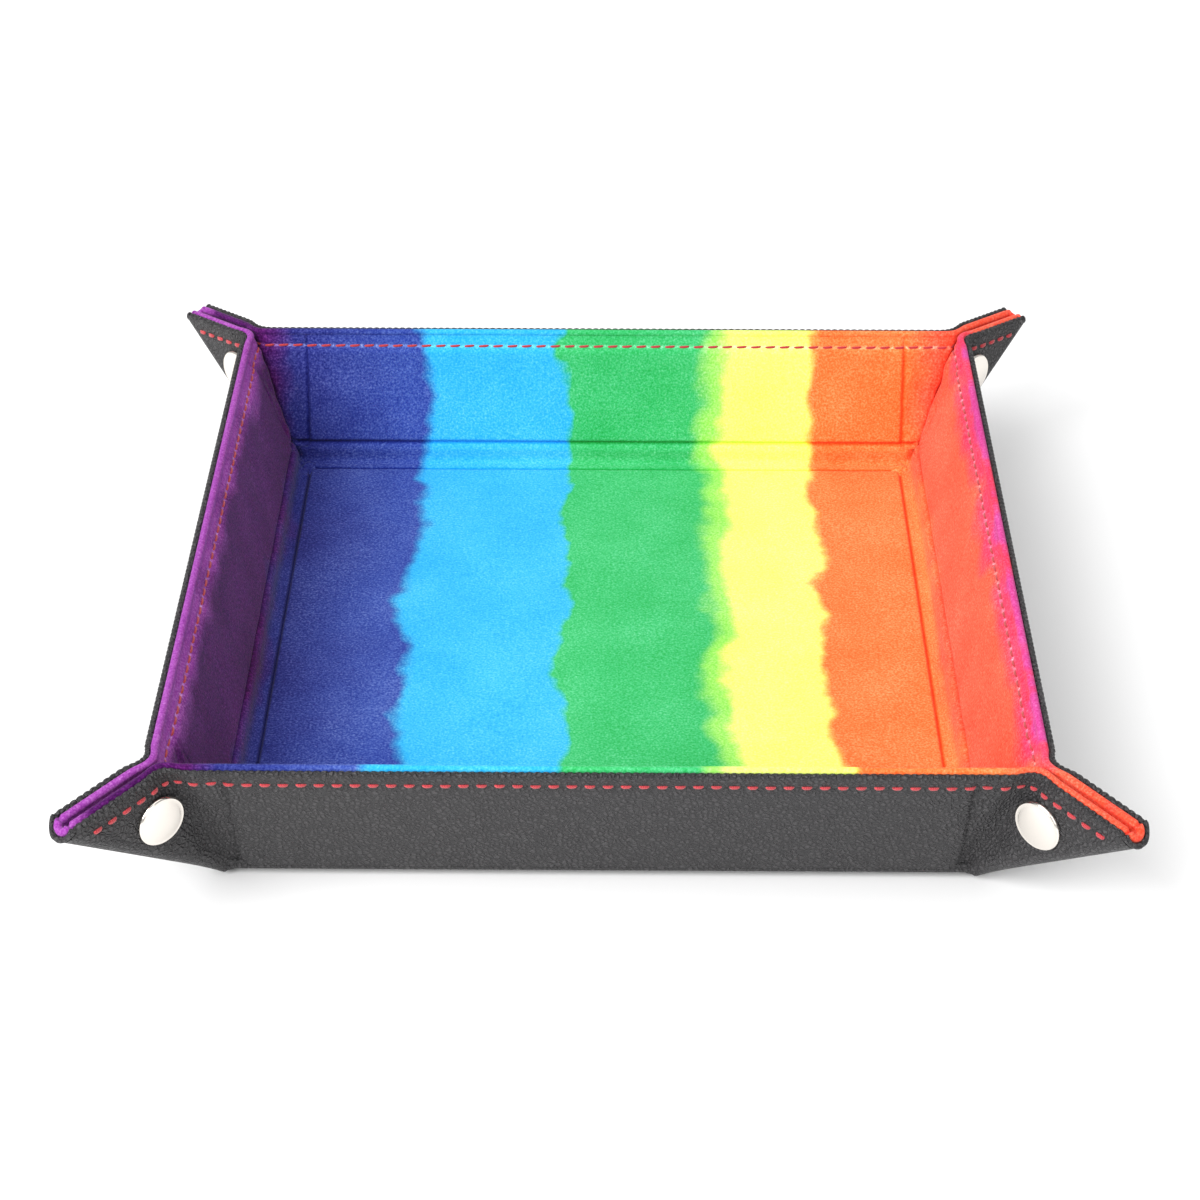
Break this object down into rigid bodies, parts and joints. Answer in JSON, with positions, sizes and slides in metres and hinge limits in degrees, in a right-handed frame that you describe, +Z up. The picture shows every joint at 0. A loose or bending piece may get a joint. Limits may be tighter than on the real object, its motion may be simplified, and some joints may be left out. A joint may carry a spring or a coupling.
{
  "type": "folding dice tray",
  "caption": "Square folding dice tray: leather outside, velvet inside, stiff boards sewn between; walls fold up and a snap pinches each corner.",
  "frame": {"origin": "centre of the underside of the floor", "axes": "+Z up, +X to the right, the front wall at -Y"},
  "size_m": [0.2432, 0.2432, 0.0407],
  "materials": {
    "leather": "black pebbled leatherette, softly glossy",
    "velvet": "short-pile velvet, rainbow watercolour print running from violet at the left to pink at the right",
    "board": "grey-brown stiffening board, matt",
    "snap_cap": "polished nickel",
    "snap_metal": "nickel-plated pressed steel",
    "thread": "red polyester sewing thread"
  },
  "bodies": {
    "tray_floor": {"floor_leather": "leather", "floor_board_panel": "board", "floor_velvet": "velvet"},
    "wall_front": {"front_leather": "leather", "front_board": "board", "front_velvet": "velvet", "front_thread": "thread"},
    "front_flap_left": {"front_flap_left_leather": "leather", "front_flap_left_velvet": "velvet", "front_flap_left_thread": "thread", "front_left_cap": "snap_cap", "front_left_socket": "snap_metal"},
    "front_flap_right": {"front_flap_right_leather": "leather", "front_flap_right_velvet": "velvet", "front_flap_right_thread": "thread", "front_right_cap": "snap_cap", "front_right_socket": "snap_metal"},
    "wall_right": {"right_leather": "leather", "right_board": "board", "right_velvet": "velvet", "right_thread": "thread"},
    "right_flap_front": {"right_flap_front_leather": "leather", "right_flap_front_velvet": "velvet", "right_flap_front_thread": "thread", "front_right_stud": "snap_metal", "front_right_post": "snap_metal"},
    "right_flap_back": {"right_flap_back_leather": "leather", "right_flap_back_velvet": "velvet", "right_flap_back_thread": "thread", "back_right_cap": "snap_cap", "back_right_socket": "snap_metal"},
    "wall_back": {"back_leather": "leather", "back_board": "board", "back_velvet": "velvet", "back_thread": "thread"},
    "back_flap_right": {"back_flap_right_leather": "leather", "back_flap_right_velvet": "velvet", "back_flap_right_thread": "thread", "back_right_stud": "snap_metal", "back_right_post": "snap_metal"},
    "back_flap_left": {"back_flap_left_leather": "leather", "back_flap_left_velvet": "velvet", "back_flap_left_thread": "thread", "back_left_stud": "snap_metal", "back_left_post": "snap_metal"},
    "wall_left": {"left_leather": "leather", "left_board": "board", "left_velvet": "velvet", "left_thread": "thread"},
    "left_flap_back": {"left_flap_back_leather": "leather", "left_flap_back_velvet": "velvet", "left_flap_back_thread": "thread", "back_left_cap": "snap_cap", "back_left_socket": "snap_metal"},
    "left_flap_front": {"left_flap_front_leather": "leather", "left_flap_front_velvet": "velvet", "left_flap_front_thread": "thread", "front_left_stud": "snap_metal", "front_left_post": "snap_metal"}
  },
  "joints": [
    {"name": "wall_front_fold", "type": "hinge", "parent": "tray_floor", "child": "wall_front", "pos_m": [0, -0.0884, 0.004], "axis": [1, 0, 0], "range_deg": [0, 72.4]},
    {"name": "front_flap_left_fold", "type": "hinge", "parent": "wall_front", "child": "front_flap_left", "pos_m": [-0.0884, -0.0884, 0.004], "axis": [0.2894, 0.2894, -0.9124], "range_deg": [0, 47.62]},
    {"name": "front_flap_right_fold", "type": "hinge", "parent": "wall_front", "child": "front_flap_right", "pos_m": [0.0884, -0.0884, 0.004], "axis": [0.2894, -0.2894, 0.9124], "range_deg": [0, 47.62]},
    {"name": "wall_right_fold", "type": "hinge", "parent": "tray_floor", "child": "wall_right", "pos_m": [0.0884, 0, 0.004], "axis": [0, 1, 0], "range_deg": [0, 72.4]},
    {"name": "right_flap_front_fold", "type": "hinge", "parent": "wall_right", "child": "right_flap_front", "pos_m": [0.0884, -0.0884, 0.004], "axis": [-0.2894, 0.2894, -0.9124], "range_deg": [0, 47.62]},
    {"name": "right_flap_back_fold", "type": "hinge", "parent": "wall_right", "child": "right_flap_back", "pos_m": [0.0884, 0.0884, 0.004], "axis": [0.2894, 0.2894, 0.9124], "range_deg": [0, 47.62]},
    {"name": "wall_back_fold", "type": "hinge", "parent": "tray_floor", "child": "wall_back", "pos_m": [0, 0.0884, 0.004], "axis": [-1, 0, 0], "range_deg": [0, 72.4]},
    {"name": "back_flap_right_fold", "type": "hinge", "parent": "wall_back", "child": "back_flap_right", "pos_m": [0.0884, 0.0884, 0.004], "axis": [-0.2894, -0.2894, -0.9124], "range_deg": [0, 47.62]},
    {"name": "back_flap_left_fold", "type": "hinge", "parent": "wall_back", "child": "back_flap_left", "pos_m": [-0.0884, 0.0884, 0.004], "axis": [-0.2894, 0.2894, 0.9124], "range_deg": [0, 47.62]},
    {"name": "wall_left_fold", "type": "hinge", "parent": "tray_floor", "child": "wall_left", "pos_m": [-0.0884, 0, 0.004], "axis": [0, -1, 0], "range_deg": [0, 72.4]},
    {"name": "left_flap_back_fold", "type": "hinge", "parent": "wall_left", "child": "left_flap_back", "pos_m": [-0.0884, 0.0884, 0.004], "axis": [0.2894, -0.2894, -0.9124], "range_deg": [0, 47.62]},
    {"name": "left_flap_front_fold", "type": "hinge", "parent": "wall_left", "child": "left_flap_front", "pos_m": [-0.0884, -0.0884, 0.004], "axis": [-0.2894, -0.2894, 0.9124], "range_deg": [0, 47.62]}
  ],
  "couplings": [
    {"joint": "front_flap_left_fold", "follows": "wall_front_fold", "ratio": 0.65777},
    {"joint": "front_flap_right_fold", "follows": "wall_front_fold", "ratio": 0.65777},
    {"joint": "wall_right_fold", "follows": "wall_front_fold", "ratio": 1},
    {"joint": "right_flap_front_fold", "follows": "wall_front_fold", "ratio": 0.65777},
    {"joint": "right_flap_back_fold", "follows": "wall_front_fold", "ratio": 0.65777},
    {"joint": "wall_back_fold", "follows": "wall_front_fold", "ratio": 1},
    {"joint": "back_flap_right_fold", "follows": "wall_front_fold", "ratio": 0.65777},
    {"joint": "back_flap_left_fold", "follows": "wall_front_fold", "ratio": 0.65777},
    {"joint": "wall_left_fold", "follows": "wall_front_fold", "ratio": 1},
    {"joint": "left_flap_back_fold", "follows": "wall_front_fold", "ratio": 0.65777},
    {"joint": "left_flap_front_fold", "follows": "wall_front_fold", "ratio": 0.65777}
  ]
}
